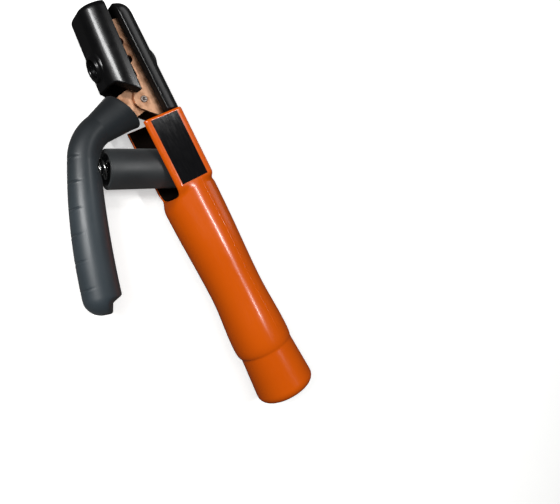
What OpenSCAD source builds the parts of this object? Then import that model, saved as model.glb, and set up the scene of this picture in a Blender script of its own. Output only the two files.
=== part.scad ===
// Spring-jaw electrode holder for manual metal arc welding.
// X runs along the handle, from the cable end at the origin to the jaws.
// Y points to the side of the squeeze lever, and Z is across the holder.

/* [Handle] */
// Length of the handle, from the cable end to the front edge of the shroud
handle_len = 195.5; // [188:0.5:210]
// Radius of the tail at the cable end
tail_r = 19.8; // [17.5:0.1:20.4]
// Radius of the tail where it meets the ring
neck_r = 17.9; // [17:0.1:19]
// Rounding of the edge at the cable end
tail_round = 6; // [2:0.5:7]
// Distance of the ring's step from the cable end
ring_x = 34.6; // [32:0.2:42]
// Radius of the hand-stop ring
ring_r = 19.7; // [19.2:0.1:22]
// Length of the ring's rounded nose
ring_nose = 6.5; // [3:0.5:9]
// Distance of the narrowest part of the grip from the cable end
waist_x = 80; // [70:1:100]
// Radius of the grip at its narrowest part
waist_r = 17.2; // [16.5:0.1:18.5]
// Radius of the grip where the shoulder starts
shoulder_r = 18.7; // [17.8:0.1:19.5]
// Length of the shoulder that turns the round grip into the square shroud
shoulder_len = 11.5; // [8:0.5:16]
// Radius of the hole that the cable goes in through
inlet_r = 10.5; // [8:0.5:11]
// Length of the cable hole
inlet_len = 30; // [20:1:34]
// Radius of the hollow inside the grip
hollow_r = 13.3; // [13.2:0.1:13.6]

/* [Shroud] */
// Length of the open shroud, from its front edge to the end of the cut-out
shroud_len = 48; // [46:0.5:52]
// Width of the shroud
shroud_w = 34.6; // [33:0.2:38]
// Distance from the axis to the outside of the shroud's back
shroud_back = 14.5; // [14.3:0.1:15]
// Distance from the axis to the free edges of the shroud's side walls
shroud_top = 12.2; // [9:0.1:14]
// Thickness of the shroud's walls
wall = 3.2; // [2.4:0.1:3.4]
// Rounding of the shroud's long edges
shroud_round = 3; // [1:0.5:5]
// Rounding of the inner corners at the end of the cut-out
pocket_round = 5; // [2:0.5:8]
// Depth of the small step behind the shroud's back
lip = 0.9; // [0.2:0.1:1.5]
// Length of the label
label_len = 40.6; // [30:0.2:40.8]
// Width of the label
label_w = 18.4; // [12:0.2:20]
// Thickness of the label
label_t = 0.5; // [0.3:0.1:0.8]
// Distance from the label to the shroud's front edge
label_inset = 1.6; // [1:0.1:4]

/* [Pressed steel] */
// Thickness of the pressed sheet
sheet = 2; // [1.6:0.1:2.2]
// Outer width of the fixed channel
channel_w = 17; // [16.4:0.1:18]
// Side clearance between the lever and the fixed channel
side_gap = 0.3; // [0.2:0.05:0.5]
// Height of the fixed jaw's edges above the axis
jaw_edge_y = -1; // [-2:0.1:-0.5]
// Height of the channel's walls inside the shroud, above the axis
low_edge_y = -5; // [-6:0.1:-4.6]
// Radius of the ears round the pivot
ear_r = 6; // [5:0.1:7]
// Radius of the electrode notches
notch_r = 2.2; // [1.5:0.1:2.6]
// Distance of the first notch from the pivot
notch_x = 24.2; // [22:0.1:26]
// Distance between the notches
notch_pitch = 10.9; // [8:0.1:12]
// Width of the channel's tail, which carries the cable socket
tail_w = 12; // [9:0.5:13]

/* [Jaws] */
// Distance from the shroud's front edge to the pivot
pivot_ahead = 12.5; // [11:0.1:14]
// Height of the pivot above the axis
pivot_y = 2; // [1:0.1:3]
// Length of the jaws from the pivot
jaw_len = 48; // [45:0.5:52]
// Tilt of the closed moving jaw, in degrees
jaw_tilt = 3.9; // [2.5:0.1:5]
// Gap left between the closed jaws at the tip
close_gap = 0.3; // [0.2:0.05:1]
// Radius of the pivot rivet
rivet_r = 1.75; // [1.4:0.05:2.2]
// Radius of the bush that the lever turns on
bush_r = 3.5; // [3:0.05:4]
// Running clearance between the bush and the lever
run_gap = 0.05; // [0.02:0.01:0.1]

/* [Covers] */
// Outer radius of the fixed cover
cover_r = 15.9; // [15.4:0.1:17]
// Thickness of the covers' shell
cover_wall = 2.6; // [2:0.1:3]
// Length of the covers' nose beyond the jaws
cover_nose = 7.6; // [6.5:0.1:10]
// Thickness of the moving cover's front wall
nose_wall = 6; // [3:0.5:6]
// Length of the rounding at the fixed cover's front
nose_len = 7; // [3:0.5:7.5]
// Depth of the rounding at the fixed cover's front
nose_depth = 5; // [2:0.5:6]
// Height of the fixed cover's rim above the axis
fixed_rim_y = -5.5; // [-6:0.1:-4]
// Distance from the fixed cover's rim to the centre of its round
fixed_drop = 2.5; // [1:0.1:3]
// Gap between the fixed cover's slot and the channel
slot_gap = 0.3; // [0.1:0.05:0.8]
// Gap between the fixed cover and the shroud
cover_gap = 0.8; // [0.5:0.1:2.4]
// Height of the moving cover's rim above the pivot
moving_rim_y = 2.2; // [1.6:0.1:3.2]
// Half width of the moving cover
moving_half = 17.1; // [16.6:0.1:17.8]
// Height of the moving cover's flat top above its rim, at its screw
moving_rise = 15.1; // [14.4:0.1:16]
// Fall of the moving cover's flat top towards its front, in degrees
moving_fall = 1.8; // [0:0.1:2.4]
// Rounding of the moving cover's long upper edges
moving_corner = 11.5; // [8:0.5:12.5]
// Rounding of the moving cover's front edges
moving_front_round = 4; // [2:0.5:5]
// Distance from the pivot to the rear tips of the moving cover's rim
moving_start = 4; // [3.6:0.1:5]
// Length that the moving cover's rear is cut back above its rim
rear_cut = 8.8; // [8:0.2:9.6]
// Height over which the moving cover's rear is cut back
rear_cut_rise = 12; // [9:0.5:13]
// Distance from the pivot to the fixed cover's screw
fixed_screw_x = 21.5; // [20:0.5:26]
// Distance from the pivot to the moving cover's screw
moving_screw_x = 26; // [24:0.2:32]
// Distance that the moving cover stands past the fixed cover's length
moving_reach = 2.4; // [1:0.1:4]
// Radius of the moving cover's inner pillar
pillar_r = 7; // [6.4:0.1:7.4]
// Thickness of the fixed cover under its screw's head
fixed_under_head = 3; // [2:0.1:3.6]
// Length of the moving cover's pillar under its screw's head
moving_under_head = 8.5; // [3:0.5:9.5]
// Radius of the hole over the fixed cover's screw
fixed_well_r = 4.4; // [4.4:0.1:4.8]
// Radius of the hole over the moving cover's screw
moving_well_r = 5.4; // [4.4:0.1:5.8]
// Radius of the boss on the fixed cover
fixed_boss_r = 5.4; // [5:0.1:7]
// Height of the boss on the fixed cover
fixed_boss_h = 0.6; // [0.3:0.1:3]
// Radius of the boss on the moving cover
moving_boss_r = 7.5; // [6.8:0.1:8.4]
// Height of the boss on the moving cover
moving_boss_h = 0.9; // [0.5:0.1:3]

/* [Lever] */
// Height of the lever's bend above the pivot
lever_rise = 42.4; // [39:0.2:47]
// Distance of the lever's bend behind the pivot
lever_back = 8.1; // [6.5:0.1:10]
// Direction of the lever's upper arm, in degrees from the X axis
upper_angle = 103.7; // [101:0.1:106]
// Direction of the lever's lower arm at the bend, in degrees from the X axis
lower_angle = 153.7; // [150:0.1:157]
// Radius of the lever's bend
bend_r = 25; // [18:0.5:28]
// Radius of the lower arm's gentle curve
arm_curve_r = 435; // [300:5:900]
// Length of the lower arm from the bend to the end of its steel
arm_len = 77; // [62:1:90]
// Half depth of the lever's channel in the arm
arm_half = 3.8; // [3.4:0.1:4.4]
// Half depth of the lever's channel at the pivot
root_half = 7.8; // [7:0.1:8.4]
// Radial clearance between the lever and its sleeve
sleeve_fit = 0.2; // [0.1:0.05:0.4]
// Wall of the lever's rubber sleeve
sleeve_wall = 1.6; // [1.2:0.1:2]
// Length of the sleeve before the bend
sleeve_upper = 20.8; // [18.8:0.2:21.4]
// Extra opening of the sleeve's mouth
mouth_flare = 1; // [0.2:0.1:1.3]
// Length that the sleeve's mouth is cut back on its front side
mouth_cut = 4.5; // [1:0.5:6]
// Growth of the sleeve's radius from the bend to its end
end_swell = 2; // [0.5:0.1:2.6]
// Length of the sleeve's closed end beyond the steel
cap_len = 11; // [10.5:0.5:16]
// Rounding of the sleeve's closed end
cap_round = 10; // [5:0.5:10]

/* [Spring] */
// Wire of the spring
wire = 2; // [1.6:0.1:2.2]
// Outer radius of the spring
spring_r = 6.3; // [5.6:0.1:6.3]
// Turns of the spring
spring_turns = 11; // [8:1:14]
// Gap between the closed end turns
end_gap = 0.5; // [0.45:0.05:0.8]
// Direction of the spring, in degrees from the X axis
spring_angle = 67.5; // [65:0.5:70]
// Distance of the spring's seat from the lever's bend
seat_along = 4.6; // [3:0.1:8]
// Height of the spring's foot above the floor of the channel
seat_rise = 3.8; // [3.6:0.1:5]
// Radius of the studs inside the spring's ends
stud_r = 3.7; // [2.8:0.1:3.8]
// Height of the studs inside the spring's ends
stud_h = 4; // [2:0.5:6]
// Outer radius of the spring's rubber sleeve
guard_r = 12; // [10:0.1:12.6]
// Wall of the spring's rubber sleeve
guard_wall = 2.5; // [1.5:0.1:3]
// Distance from the lever's steel to the mouth of the spring's sleeve
guard_gap = 8.3; // [8:0.1:11]
// Distance from the spring's foot to the bottom of its sleeve
guard_foot = 6.5; // [6:0.1:9]

/* [Cable socket] */
// Radius of the hole for the cable's strands
socket_bore_r = 6.5; // [5:0.1:7]
// Outer radius of the socket
socket_r = 10; // [9.4:0.1:10.4]
// Length of the socket
socket_len = 43; // [36:1:50]
// Distance from the socket to the cut-out
socket_back = 9.5; // [7:0.5:14]
// Radius of the clamping screws
clamp_r = 4; // [3:0.1:4.2]
// Length of the clamping screws
clamp_len = 5.6; // [4:0.1:5.8]
// Distance between the clamping screws
clamp_pitch = 20; // [15:0.5:24]

/* [Screws and rivets] */
// Radius of the cover and handle screws
screw_r = 2.5; // [2:0.1:2.6]
// Radius of the screws' heads
head_r = 4.2; // [3.6:0.1:4.3]
// Height of the screws' heads
head_h = 2.6; // [2:0.1:3]
// Width of the square nuts
nut_w = 8; // [7:0.1:8.2]
// Thickness of the square nuts
nut_t = 4; // [3:0.1:4]
// Clearance of a screw, rivet or pin in its hole
hole_gap = 0.1; // [0.05:0.01:0.15]
// Radius of the socket's rivets
socket_rivet_r = 2; // [1.5:0.1:2.4]

/* [Hidden] */
$fn = 64;

// Room that a cut runs past the faces it goes through
past = 1;
// Clearance of pieces that seat beside each other
seat_gap = 0.1;
// Small step between parts of one surface, where one laps into the next
hair = 0.06;

orange = "orangered";
bakelite = "#1a1a1c";
copper = "#b87850";
steel = "silver";
rubber = "#33373a";

// Where the main features lie along the handle
pocket_x = handle_len - shroud_len;
shoulder_before = 4.5;
shoulder_x = pocket_x - shoulder_before;
shroud_x = shoulder_x + shoulder_len;
pocket_half = shroud_w / 2 - wall;
back_inside = -(shroud_back - wall);

// The fixed channel
channel_half = channel_w / 2;
channel_inside = channel_half - sheet;
floor_y = back_inside + seat_gap;
floor_top = floor_y + sheet;
pivot = [handle_len + pivot_ahead, pivot_y];
jaw_tip_x = pivot.x + jaw_len;
wall_end_x = pocket_x + seat_gap;
wall_end_slope = 3;
ear_rear_angle = 139;
ear_front_angle = 53;

// The cable socket, on the channel's tail
socket_front = pocket_x - socket_back;
socket_rear = socket_front - socket_len;
socket_mid = (socket_front + socket_rear) / 2;

// The moving jaw, in its own frame with the pivot at the origin
lever_half = channel_inside - side_gap;
web_low = -2.25;
nut_room = 0.25;
jaw_wall_top = web_low + sheet + nut_t + nut_room;

// The lever's path: a straight upper arm, a bend and a gently curved lower arm
turn = lower_angle - upper_angle;
corner = pivot + [-lever_back, lever_rise];
bend_in = corner - ahead(upper_angle) * bend_r * tan(turn / 2);
bend_out = corner + ahead(lower_angle) * bend_r * tan(turn / 2);
bend_centre = bend_in + beside(upper_angle) * bend_r;
arm_centre = bend_out + beside(lower_angle) * arm_curve_r;
arm_turn = arm_len / arm_curve_r * 180 / PI;

// The rubber sleeve over the lever
sleeve_in = norm([arm_half, lever_half]) + sleeve_fit;
sleeve_out = sleeve_in + sleeve_wall;
mouth_in = norm([root_half, lever_half]) + sleeve_fit + mouth_flare;
mouth_out = mouth_in + sleeve_wall;

// The spring, from its foot in the channel to its seat on the lever
spring_dir = ahead(spring_angle);
spring_side = beside(spring_angle);
seat_point = arm_point(seat_along) + beside(arm_heading(seat_along)) * arm_half;
spring_span = (seat_point.y - floor_top - seat_rise) / spring_dir.y;
spring_foot = seat_point - spring_dir * spring_span;
tilt_room = 0.6;
spring_len = spring_span - tilt_room - seat_gap;
coil_r = spring_r - wire / 2;
end_turns = 1.5;
end_pitch = wire + end_gap;
rings_per_turn = 8;
wire_sides = 6;
seat_half = 7;
screw_behind_spring = 4.6;
handle_screw_x = spring_foot.x - screw_behind_spring;

// Unit vectors along and to the left of a heading
function ahead(a) = [cos(a), sin(a)];
function beside(a) = [-sin(a), cos(a)];
// Smooth step from 0 to 1
function ease(t) = (1 - cos(180 * t)) / 2;
function mix(a, b, t) = a + (b - a) * t;

// Points of the lever's centre line
function upper_point(d) = bend_in - ahead(upper_angle) * d;
function bend_point(a) = bend_centre - beside(a) * bend_r;
function arm_heading(s) = lower_angle + s / arm_curve_r * 180 / PI;
function arm_point(s) = arm_centre - beside(arm_heading(s)) * arm_curve_r;

// Half depth of the lever's channel, at a distance before the bend
function lever_depth(d) =
    mix(arm_half, root_half, min(1, d / sleeve_upper));

// Stations along the lever: place, heading and half depth
root_bare = 9;
root_run = sleeve_upper + root_bare;
lever_stations = concat(
    [for (i = [0 : 10])
        let (d = root_run * (1 - i / 10)) [upper_point(d), upper_angle, lever_depth(d)]],
    [for (i = [1 : 9]) let (a = upper_angle + turn * i / 9) [bend_point(a), a, arm_half]],
    [for (i = [1 : 10]) let (s = arm_len * i / 10) [arm_point(s), arm_heading(s), arm_half]]
);

// Outline between two offsets from the lever's centre line, as shares of its depth less an inset
function offset_side(stations, share, inset) =
    [for (p = stations) p[0] + beside(p[1]) * (share * p[2] - inset)];
function reversed(list) = [for (i = [len(list) - 1 : -1 : 0]) list[i]];

// A side outline given a width, centred on the middle plane
module slab(width) {
    translate([0, 0, -width / 2]) linear_extrude(width) children();
}

// The two walls of a pressed channel from its side outline
module channel_walls(half) {
    for (side = [0, 1])
        mirror([0, 0, side]) translate([0, 0, half - sheet]) linear_extrude(sheet) children();
}

// A cross outline, given in Y and Z, carried along X
module along_x(x, length) {
    translate([x, 0, 0]) rotate([90, 0, 90]) linear_extrude(length) children();
}

// A plan outline, given in X and Z, carried along Y
module along_y(y, length) {
    translate([0, y, 0]) rotate([-90, 0, 0]) linear_extrude(length) children();
}

// A solid of revolution about the X axis, from its outline in radius and X
module turned(outline) {
    rotate([0, 90, 0]) rotate_extrude() polygon(outline);
}

// A child that stands along +Z, laid along a heading in the XY plane
module aimed(place, heading) {
    translate([place.x, place.y, 0]) rotate([0, 0, heading]) rotate([0, 90, 0]) children();
}

// A child in the moving jaw's own frame
module on_moving_jaw() {
    translate([pivot.x, pivot.y, 0]) rotate([0, 0, -jaw_tilt]) children();
}

// A cross pin through the pivot
module pivot_cylinder(radius, length) {
    translate([pivot.x, pivot.y, 0]) cylinder(h = length, r = radius, center = true);
}

// A rectangle with round corners, from its low to its high corner
module round_rect(low, high, r) {
    translate([low.x + r, low.y]) square([high.x - low.x - 2 * r, high.y - low.y]);
    translate([low.x, low.y + r]) square([high.x - low.x, high.y - low.y - 2 * r]);
    for (x = [low.x + r, high.x - r], y = [low.y + r, high.y - r])
        translate([x, y]) circle(r);
}

// Outline of the round grip in radius and X
grip_outline = concat(
    [[0, 0]],
    [for (a = [90 : -10 : 0]) [tail_r - tail_round * (1 - cos(a)), tail_round * (1 - sin(a))]],
    [for (a = [0 : 15 : 90]) [mix(neck_r, ring_r, sin(a)), ring_x + ring_nose * (1 - cos(a))]],
    [for (i = [1 : 12])
        [mix(ring_r, waist_r, ease(i / 12)), mix(ring_x + ring_nose, waist_x, i / 12)]],
    [for (i = [1 : 10])
        [mix(waist_r, shoulder_r, ease(i / 10)), mix(waist_x, shoulder_x, i / 10)]],
    [[0, shoulder_x]]
);

module shroud_section(inset) {
    round_rect([inset - shroud_back, -shroud_w / 2], [shroud_top, shroud_w / 2], shroud_round);
}

// The round grip running into the shroud: a round cut by sloping flats,
// with the square's corners rising from it
module shoulder() {
    lap = 1;
    start = shoulder_x - lap;
    length = shroud_x - start;
    round_r = shoulder_r - hair;
    corner_r = norm([shroud_back, shroud_w / 2]);
    side = shroud_w / 2;
    intersection() {
        translate([start, 0, 0]) rotate([0, 90, 0]) cylinder(h = length + hair, r = round_r);
        slab(4 * shoulder_r)
            polygon([
                [start, -shoulder_r], [shroud_x, lip - shroud_back], [shroud_x + lap, lip - shroud_back],
                [shroud_x + lap, shroud_top], [shroud_x, shroud_top], [start, shoulder_r]
            ]);
        along_y(-2 * shoulder_r, 4 * shoulder_r)
            polygon([
                [start, -shoulder_r], [shroud_x, -side], [shroud_x + lap, -side],
                [shroud_x + lap, side], [shroud_x, side], [start, shoulder_r]
            ]);
    }
    intersection() {
        along_x(start, length + hair) shroud_section(lip);
        translate([start, 0, 0])
            rotate([0, 90, 0]) cylinder(h = length + hair, r1 = round_r - lap, r2 = corner_r);
    }
}

module handle_outside() {
    turned(grip_outline);
    shoulder();
    along_x(shroud_x, handle_len - shroud_x) shroud_section(0);
}

// The open pocket that the lever's spring stands in
module pocket() {
    length = shroud_len + past;
    along_y(back_inside, shroud_back + shoulder_r + past) {
        translate([pocket_x + pocket_round, -pocket_half])
            square([length - pocket_round, 2 * pocket_half]);
        translate([pocket_x, pocket_round - pocket_half])
            square([length, 2 * (pocket_half - pocket_round)]);
        for (side = [-1, 1])
            translate([pocket_x + pocket_round, side * (pocket_half - pocket_round)]) circle(pocket_round);
    }
}

// Ribs that hold the channel in the middle of the shroud
module handle_ribs() {
    rib_t = 2.4;
    rib_inset = 9;
    rib_in = channel_half + seat_gap;
    for (side = [0, 1], x = [pocket_x + rib_inset, handle_len - rib_inset])
        mirror([0, 0, side])
            translate([x, back_inside - 0.5, rib_in])
                cube([rib_t, low_edge_y - back_inside + 0.5, pocket_half - rib_in + 0.5]);
}

// A countersunk screw hole or screw body, pointing along +Y from the outside of the shroud's back
module countersunk(radius, top_r, depth, length) {
    rotate([-90, 0, 0]) {
        cylinder(h = depth, r1 = top_r, r2 = radius);
        cylinder(h = length, r = radius);
    }
}

module handle() {
    color(orange) {
        difference() {
            handle_outside();
            translate([-past, 0, 0])
                rotate([0, 90, 0]) cylinder(h = inlet_len + 2 * past, r = inlet_r);
            translate([inlet_len, 0, 0])
                rotate([0, 90, 0]) cylinder(h = pocket_x - inlet_len + past, r = hollow_r);
            pocket();
            label_blank(seat_gap, past);
            translate([handle_screw_x, -shroud_back, 0])
                countersunk(screw_r + hole_gap, head_r + hole_gap, head_r - screw_r, wall + past);
        }
        handle_ribs();
    }
}

// The label's plate, or its recess with clearance at the edges and room above
module label_blank(edge, above) {
    label_shift = 0.6;
    translate([
        handle_len - label_inset - label_len - edge,
        -label_w / 2 - edge - label_shift,
        shroud_w / 2 - label_t
    ])
        cube([label_len + 2 * edge, label_w + 2 * edge, label_t + above]);
}

module label() {
    color(bakelite) label_blank(0, 0);
}

// Side outline of the fixed channel: low walls, ears round the pivot and the notched jaw
module channel_outline() {
    rear_out = ahead(ear_rear_angle) * ear_r;
    front_out = ahead(ear_front_angle) * ear_r;
    rear_run = ear_r - (low_edge_y - pivot.y) * sin(ear_rear_angle);
    front_run = ear_r - (jaw_edge_y - pivot.y) * sin(ear_front_angle);
    rear_foot = pivot.x + rear_run / cos(ear_rear_angle);
    front_foot = pivot.x + front_run / cos(ear_front_angle);
    tip_round = 2;
    difference() {
        union() {
            polygon([
                [wall_end_x, floor_y], [jaw_tip_x, floor_y], [jaw_tip_x, jaw_edge_y - tip_round],
                [jaw_tip_x - tip_round, jaw_edge_y], [front_foot, jaw_edge_y], pivot + front_out,
                pivot, pivot + rear_out, [rear_foot, low_edge_y], [wall_end_x + wall_end_slope, low_edge_y]
            ]);
            translate(pivot) circle(ear_r);
            translate([jaw_tip_x - tip_round, jaw_edge_y - tip_round]) circle(tip_round);
        }
        for (i = [0, 1])
            translate([pivot.x + notch_x + i * notch_pitch, jaw_edge_y]) circle(notch_r);
    }
}

module body_channel() {
    lip_top = pivot.y + web_low * cos(jaw_tilt) - jaw_len * sin(jaw_tilt) - close_gap;
    color(copper)
        difference() {
            union() {
                channel_walls(channel_half) channel_outline();
                translate([wall_end_x, floor_y, -channel_half])
                    cube([jaw_tip_x - wall_end_x, sheet, channel_w]);
                translate([socket_rear, floor_y, -tail_w / 2])
                    cube([wall_end_x - socket_rear + past, sheet, tail_w]);
                translate([jaw_tip_x - sheet, floor_y, -channel_inside])
                    cube([sheet, lip_top - floor_y, 2 * channel_inside]);
            }
            pivot_cylinder(rivet_r + hole_gap, channel_w + past);
            for (x = [pivot.x + fixed_screw_x, handle_screw_x])
                translate([x, floor_y - past, 0])
                    rotate([-90, 0, 0]) cylinder(h = sheet + 2 * past, r = screw_r + hole_gap);
            socket_rivet_bodies(hole_gap);
        }
}

module socket_rivet_bodies(gap) {
    stem = sheet + 2;
    top_r = socket_rivet_r * 1.6;
    depth = socket_rivet_r * 0.6;
    for (side = [-1, 1])
        translate([socket_mid + side * socket_len / 3.6, floor_y, 0])
            countersunk(socket_rivet_r + gap, top_r + gap, depth, stem + gap);
}

module socket_rivets() {
    color(steel) socket_rivet_bodies(0);
}

module clamp_holes(radius, low, high) {
    for (side = [-1, 1])
        translate([socket_mid + side * clamp_pitch / 2, low, 0])
            rotate([-90, 0, 0]) cylinder(h = high - low, r = radius);
}

module cable_socket() {
    chamfer = 1;
    color(copper)
        difference() {
            translate([socket_rear, 0, 0])
                turned([
                    [socket_bore_r, chamfer], [socket_bore_r + chamfer, 0], [socket_r - chamfer, 0],
                    [socket_r, chamfer], [socket_r, socket_len - chamfer], [socket_r - chamfer, socket_len],
                    [socket_bore_r, socket_len]
                ]);
            translate([socket_rear - past, floor_top - socket_r, -socket_r])
                cube([socket_len + 2 * past, socket_r, 2 * socket_r]);
            clamp_holes(clamp_r + hole_gap, 0, socket_r + past);
            socket_rivet_bodies(hole_gap);
        }
}

module clamp_screws() {
    low = socket_bore_r + 0.3;
    socket_depth = 2.5;
    color(steel)
        difference() {
            clamp_holes(clamp_r, low, low + clamp_len);
            clamp_holes(clamp_r / 2, low + clamp_len - socket_depth, low + clamp_len + past, $fn = 6);
        }
}

module pivot_rivet() {
    head = 0.8;
    outer = rivet_r + 0.3;
    end = channel_half + head;
    half = [
        [rivet_r, channel_half], [outer, channel_half], [outer, end - 0.3], [outer - 0.3, end],
        [rivet_r * 0.6, end], [0, end - 1]
    ];
    color(steel)
        translate([pivot.x, pivot.y, 0])
            rotate_extrude()
                polygon(concat([for (p = reversed(half)) [p.x, -p.y]], half));
}

module pivot_bush() {
    color(steel)
        difference() {
            pivot_cylinder(bush_r, 2 * channel_inside);
            pivot_cylinder(rivet_r + hole_gap, channel_w);
        }
}

// Outline of the fixed cover in radius and X, with its round nose
function cover_outline(length) = concat(
    [[0, 0], [cover_r, 0]],
    [for (a = [0 : 10 : 90])
        [cover_r - nose_depth * (1 - cos(a)), length - nose_len * (1 - sin(a))]],
    [[0, length]]
);

// A cover with its rim at Y 0, its crown towards -Y and its rear at X 0.
// The first child is its outside and the second its hollow.
module jaw_cover(length, crown, screw_x, seat_y, under_head, well_r, boss_r, boss_h) {
    wide = 2 * cover_r;
    difference() {
        union() {
            difference() {
                children(0);
                children(1);
            }
            translate([screw_x, -crown + cover_wall, 0])
                rotate([90, 0, 0]) cylinder(h = cover_wall + boss_h, r = boss_r);
        }
        translate([-wide, 0, -wide]) cube([length + 2 * wide, wide, 2 * wide]);
        translate([screw_x, 0, 0])
            rotate([90, 0, 0]) cylinder(h = crown + boss_h + past, r = screw_r + hole_gap);
        translate([screw_x, seat_y - under_head, 0])
            rotate([90, 0, 0]) cylinder(h = crown + boss_h, r = well_r);
    }
}

// A pan-head screw along +Y, with the underside of its head at Y 0
module pan_screw(length) {
    slot = 1.1;
    edge = 0.8;
    difference() {
        rotate([-90, 0, 0])
            rotate_extrude()
                polygon([
                    [0, -head_h], [head_r - edge, -head_h], [head_r, edge - head_h], [head_r, 0],
                    [screw_r, 0], [screw_r, length - 0.5], [screw_r - 0.5, length], [0, length]
                ]);
        for (a = [0, 90])
            translate([0, -head_h, 0]) rotate([0, a, 0])
                cube([head_r * 1.2, 2 * head_h / 2, slot], center = true);
    }
}

// A square nut along +Y
module square_nut() {
    difference() {
        translate([-nut_w / 2, 0, -nut_w / 2]) cube([nut_w, nut_t, nut_w]);
        translate([0, -past, 0])
            rotate([-90, 0, 0]) cylinder(h = nut_t + 2 * past, r = screw_r + hole_gap / 2);
    }
}

module fixed_jaw_cover() {
    start = handle_len + cover_gap;
    length = jaw_tip_x + cover_nose - start;
    crown = cover_r - fixed_drop;
    slot_half = channel_half + slot_gap;
    screw_x = pivot.x + fixed_screw_x - start;
    seat_y = floor_y - fixed_rim_y;
    color(bakelite)
        translate([start, fixed_rim_y, 0])
            jaw_cover(length, crown, screw_x, seat_y, fixed_under_head,
                      fixed_well_r, fixed_boss_r, fixed_boss_h) {
                translate([0, fixed_drop, 0]) turned(cover_outline(length));
                translate([-past, seat_y, -slot_half])
                    cube([jaw_tip_x + slot_gap - start + past, cover_r, 2 * slot_half]);
            }
}

module fixed_cover_screw() {
    color(steel)
        translate([pivot.x + fixed_screw_x, floor_y - fixed_under_head, 0])
            pan_screw(fixed_under_head + sheet + nut_t);
}

module fixed_cover_nut() {
    color(steel) translate([pivot.x + fixed_screw_x, floor_top, 0]) square_nut();
}

module handle_screw() {
    slot = 1.2;
    color(steel)
        translate([handle_screw_x, -shroud_back, 0])
            difference() {
                countersunk(screw_r, head_r, head_r - screw_r, shroud_back + floor_top + 4);
                cube([2 * head_r + past, 2 * slot, slot], center = true);
            }
}

// Wedge under the spring, tapped for the handle's screw
module spring_seat() {
    rear = spring_foot + spring_side * seat_half;
    front = spring_foot - spring_side * seat_half;
    color(copper)
        difference() {
            union() {
                slab(2 * (channel_inside - seat_gap))
                    polygon([[rear.x, floor_top], [front.x, floor_top], front, rear]);
                aimed(spring_foot - spring_dir, spring_angle) cylinder(h = stud_h + 1, r = stud_r);
            }
            translate([handle_screw_x, floor_top - past, 0])
                rotate([-90, 0, 0]) cylinder(h = 4 + 2 * past, r = screw_r + hole_gap / 2);
        }
}

// Height of the spring's wire above its foot, after a number of turns
function coil_height(k) =
    let (low = wire / 2 + end_pitch * end_turns, high = spring_len - low)
    k < end_turns ? wire / 2 + end_pitch * k :
    k > spring_turns - end_turns ? spring_len - wire / 2 - end_pitch * (spring_turns - k) :
    mix(low, high, (k - end_turns) / (spring_turns - 2 * end_turns));

// A point of the spring: across, side and along its axis, after a number of turns
function coil_point(k) =
    let (a = 90 + 360 * k)
    [coil_r * cos(a), coil_r * sin(a), coil_height(k)];

// Centres of the wire's rings, with straight ends one wire diameter long
ring_count = spring_turns * rings_per_turn;
turn_points = [for (i = [0 : ring_count]) coil_point(i / rings_per_turn)];
coil_centres = concat(
    [turn_points[0] + [wire, 0, 0]],
    turn_points,
    [turn_points[ring_count] - [wire, 0, 0]]
);

function unit(v) = v / norm(v);
function wire_ring(i) =
    let (
        last = len(coil_centres) - 1,
        along = unit(coil_centres[min(i + 1, last)] - coil_centres[max(i - 1, 0)]),
        side = unit(cross(along, [0, 0, 1])),
        over = cross(side, along)
    )
    [for (j = [0 : wire_sides - 1])
        coil_centres[i] + (side * cos(360 * j / wire_sides) + over * sin(360 * j / wire_sides)) * wire / 2];

coil_mesh = [for (i = [0 : len(coil_centres) - 1]) each wire_ring(i)];
coil_faces = concat(
    [for (i = [0 : len(coil_centres) - 2], j = [0 : wire_sides - 1])
        let (a = i * wire_sides + j, b = i * wire_sides + (j + 1) % wire_sides)
        each [[a, b, a + wire_sides], [b, b + wire_sides, a + wire_sides]]],
    [for (j = [1 : wire_sides - 2]) [0, j + 1, j]],
    [for (j = [1 : wire_sides - 2])
        let (first = (len(coil_centres) - 1) * wire_sides)
        [first, first + j, first + j + 1]]
);

// Least gap between turns of the wire, measured between its ring centres
last_centre = len(coil_centres) - 1;
coil_gap = min([for (i = [0 : last_centre], j = [i + rings_per_turn / 2 : 1 : last_centre])
    norm(coil_centres[i] - coil_centres[j]) - wire]);
echo(least_gap_of_spring = coil_gap);

// A child with its Z axis along the spring, from the spring's foot
module on_spring() {
    aimed(spring_foot, spring_angle) children();
}

module lever_spring() {
    color(steel) on_spring() translate([0, 0, seat_gap]) polyhedron(coil_mesh, coil_faces);
}

module spring_sleeve() {
    length = spring_span - guard_gap - guard_foot;
    color(rubber)
        on_spring()
            translate([0, 0, guard_foot])
                difference() {
                    cylinder(h = length, r = guard_r);
                    translate([0, 0, -past]) cylinder(h = length + 2 * past, r = guard_r - guard_wall);
                }
}

// Side outlines of the lever: its whole depth, and the web along its inner edge
module lever_wall_outline() {
    polygon(concat(offset_side(lever_stations, -1, 0), reversed(offset_side(lever_stations, 1, 0))));
    translate(pivot) circle(root_half - 1.4);
    translate(pivot)
        rotate(-jaw_tilt) translate([-2, web_low]) square([jaw_len + 2, jaw_wall_top - web_low]);
}

module lever_web_outline() {
    stations = [for (i = [1 : len(lever_stations) - 1]) lever_stations[i]];
    polygon(concat(offset_side(stations, 1, sheet), reversed(offset_side(stations, 1, 0))));
}

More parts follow.
